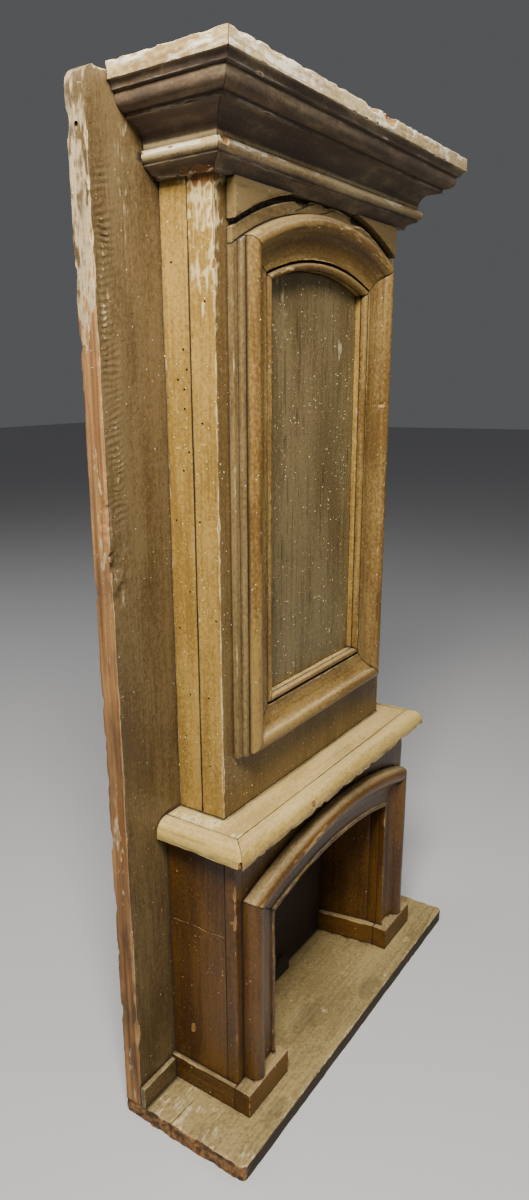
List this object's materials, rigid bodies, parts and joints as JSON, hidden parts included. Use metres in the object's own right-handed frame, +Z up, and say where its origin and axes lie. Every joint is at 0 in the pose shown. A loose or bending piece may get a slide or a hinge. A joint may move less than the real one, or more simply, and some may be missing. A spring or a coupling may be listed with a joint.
{
  "type": "miniature fireplace mantel",
  "caption": "Painted wooden fireplace mantel for a dolls house: arched hearth surround with plinths, mantel shelf, overmantel with a framed arched panel, and a stepped cornice.",
  "frame": {"origin": "middle of the underside of the hearth board", "axes": "+X to the viewer's right, +Y to the back, +Z up"},
  "size_m": [0.32, 0.096, 0.62],
  "materials": {
    "surround_paint": "dark brown paint over pine, worn through on the arrises",
    "shelf_paint": "cream-yellow paint over pine, darkened with age",
    "overmantel_paint": "olive-gold paint over pine, worn on the arrises",
    "panel_paint": "grey-green paint over pine",
    "backboard_paint": "khaki-brown paint over rough pine",
    "soot_black": "matt black stain",
    "bare_pine": "unpainted pine, darkened with age",
    "nail_iron": "rusty iron"
  },
  "bodies": {
    "root": {"arch_moulding": "surround_paint", "arch_plate": "overmantel_paint", "backboard": "backboard_paint", "backboard_nails": "nail_iron", "base_board": "surround_paint", "body_front": "surround_paint", "body_side_left": "surround_paint", "body_side_right": "surround_paint", "cheek_left": "surround_paint", "cheek_right": "surround_paint", "chimney_front": "overmantel_paint", "chimney_side_left": "overmantel_paint", "chimney_side_right": "overmantel_paint", "cornice_cap": "bare_pine", "cornice_front": "overmantel_paint", "cornice_left": "overmantel_paint", "cornice_right": "overmantel_paint", "fireback": "soot_black", "hearth_block": "soot_black", "jamb_moulding_left": "surround_paint", "jamb_moulding_right": "surround_paint", "outer_strip_left": "overmantel_paint", "outer_strip_right": "overmantel_paint", "overmantel_panel": "panel_paint", "panel_bead_bottom": "overmantel_paint", "panel_bead_head": "overmantel_paint", "panel_bead_left": "overmantel_paint", "panel_bead_right": "overmantel_paint", "panel_moulding_bottom": "overmantel_paint", "panel_moulding_head": "overmantel_paint", "panel_moulding_left": "overmantel_paint", "panel_moulding_right": "overmantel_paint", "plinth_front_left": "surround_paint", "plinth_front_right": "surround_paint", "plinth_inner_left": "surround_paint", "plinth_inner_right": "surround_paint", "plinth_side_left": "surround_paint", "plinth_side_right": "surround_paint", "shelf_board": "shelf_paint", "shelf_nosing_front": "shelf_paint", "shelf_nosing_left": "shelf_paint", "shelf_nosing_right": "shelf_paint", "skirting_left": "backboard_paint", "skirting_right": "backboard_paint", "spandrel_left": "overmantel_paint", "spandrel_right": "overmantel_paint"}
  },
  "joints": []
}
